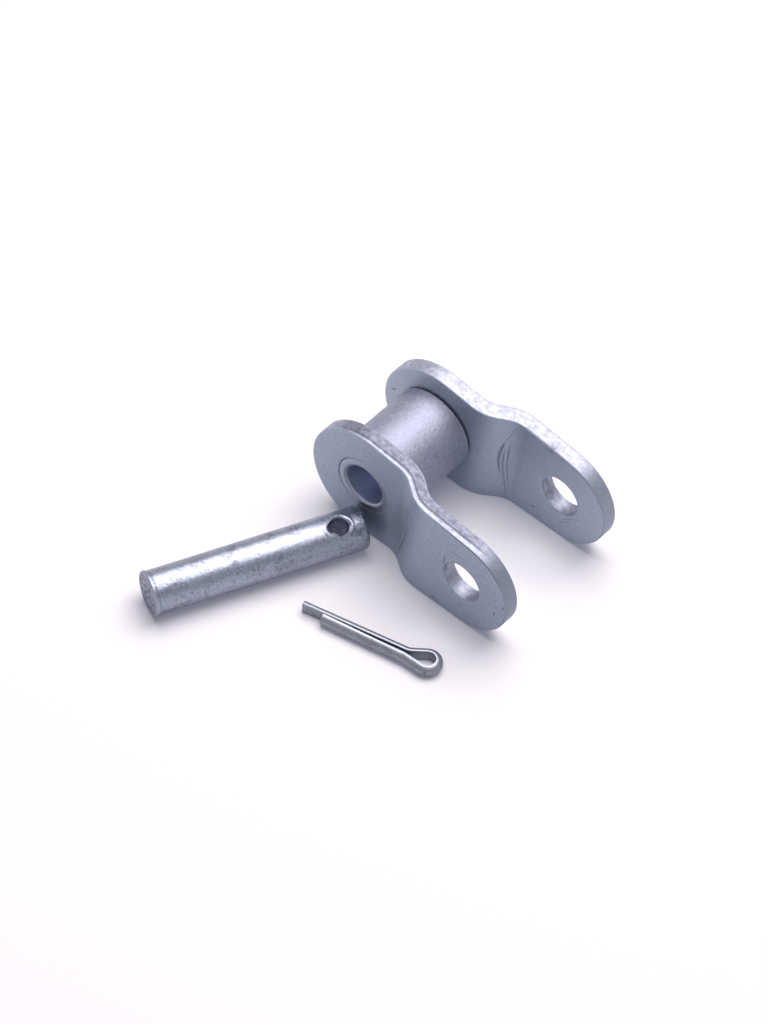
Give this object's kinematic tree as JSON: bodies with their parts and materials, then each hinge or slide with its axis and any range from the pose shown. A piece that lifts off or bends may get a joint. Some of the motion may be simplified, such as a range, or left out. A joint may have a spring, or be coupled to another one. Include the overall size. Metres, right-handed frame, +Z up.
{
  "type": "roller chain offset link",
  "caption": "Offset link for a roller chain: cranked side plates, a bush with a turning roller at the narrow end, and a loose connecting pin with its split cotter lying beside it.",
  "frame": {"origin": "centre of the bush bore, midway between the side plates", "axes": "+Y along the bush axis towards the far plate, +Z up as the link stands on its plate edges, +X towards the pin holes"},
  "size_m": [0.0542, 0.0655, 0.0236],
  "materials": {
    "plate_steel": "shot-blasted and tumbled, satin blue-grey",
    "bush_steel": "satin",
    "roller_steel": "shot-blasted, satin",
    "pin_steel": "tumbled bright, with small pits and scratches",
    "cotter_wire": "bright zinc-plated wire"
  },
  "bodies": {
    "link": {"near_plate": "plate_steel", "far_plate": "plate_steel", "bush": "bush_steel", "connecting_pin": "pin_steel", "cotter_pin": "cotter_wire"},
    "roller": {"roller": "roller_steel"}
  },
  "joints": [
    {"name": "roller_spin", "type": "hinge", "parent": "link", "child": "roller", "pos_m": [0, 0, 0], "axis": [0, 1, 0], "continuous": true}
  ]
}
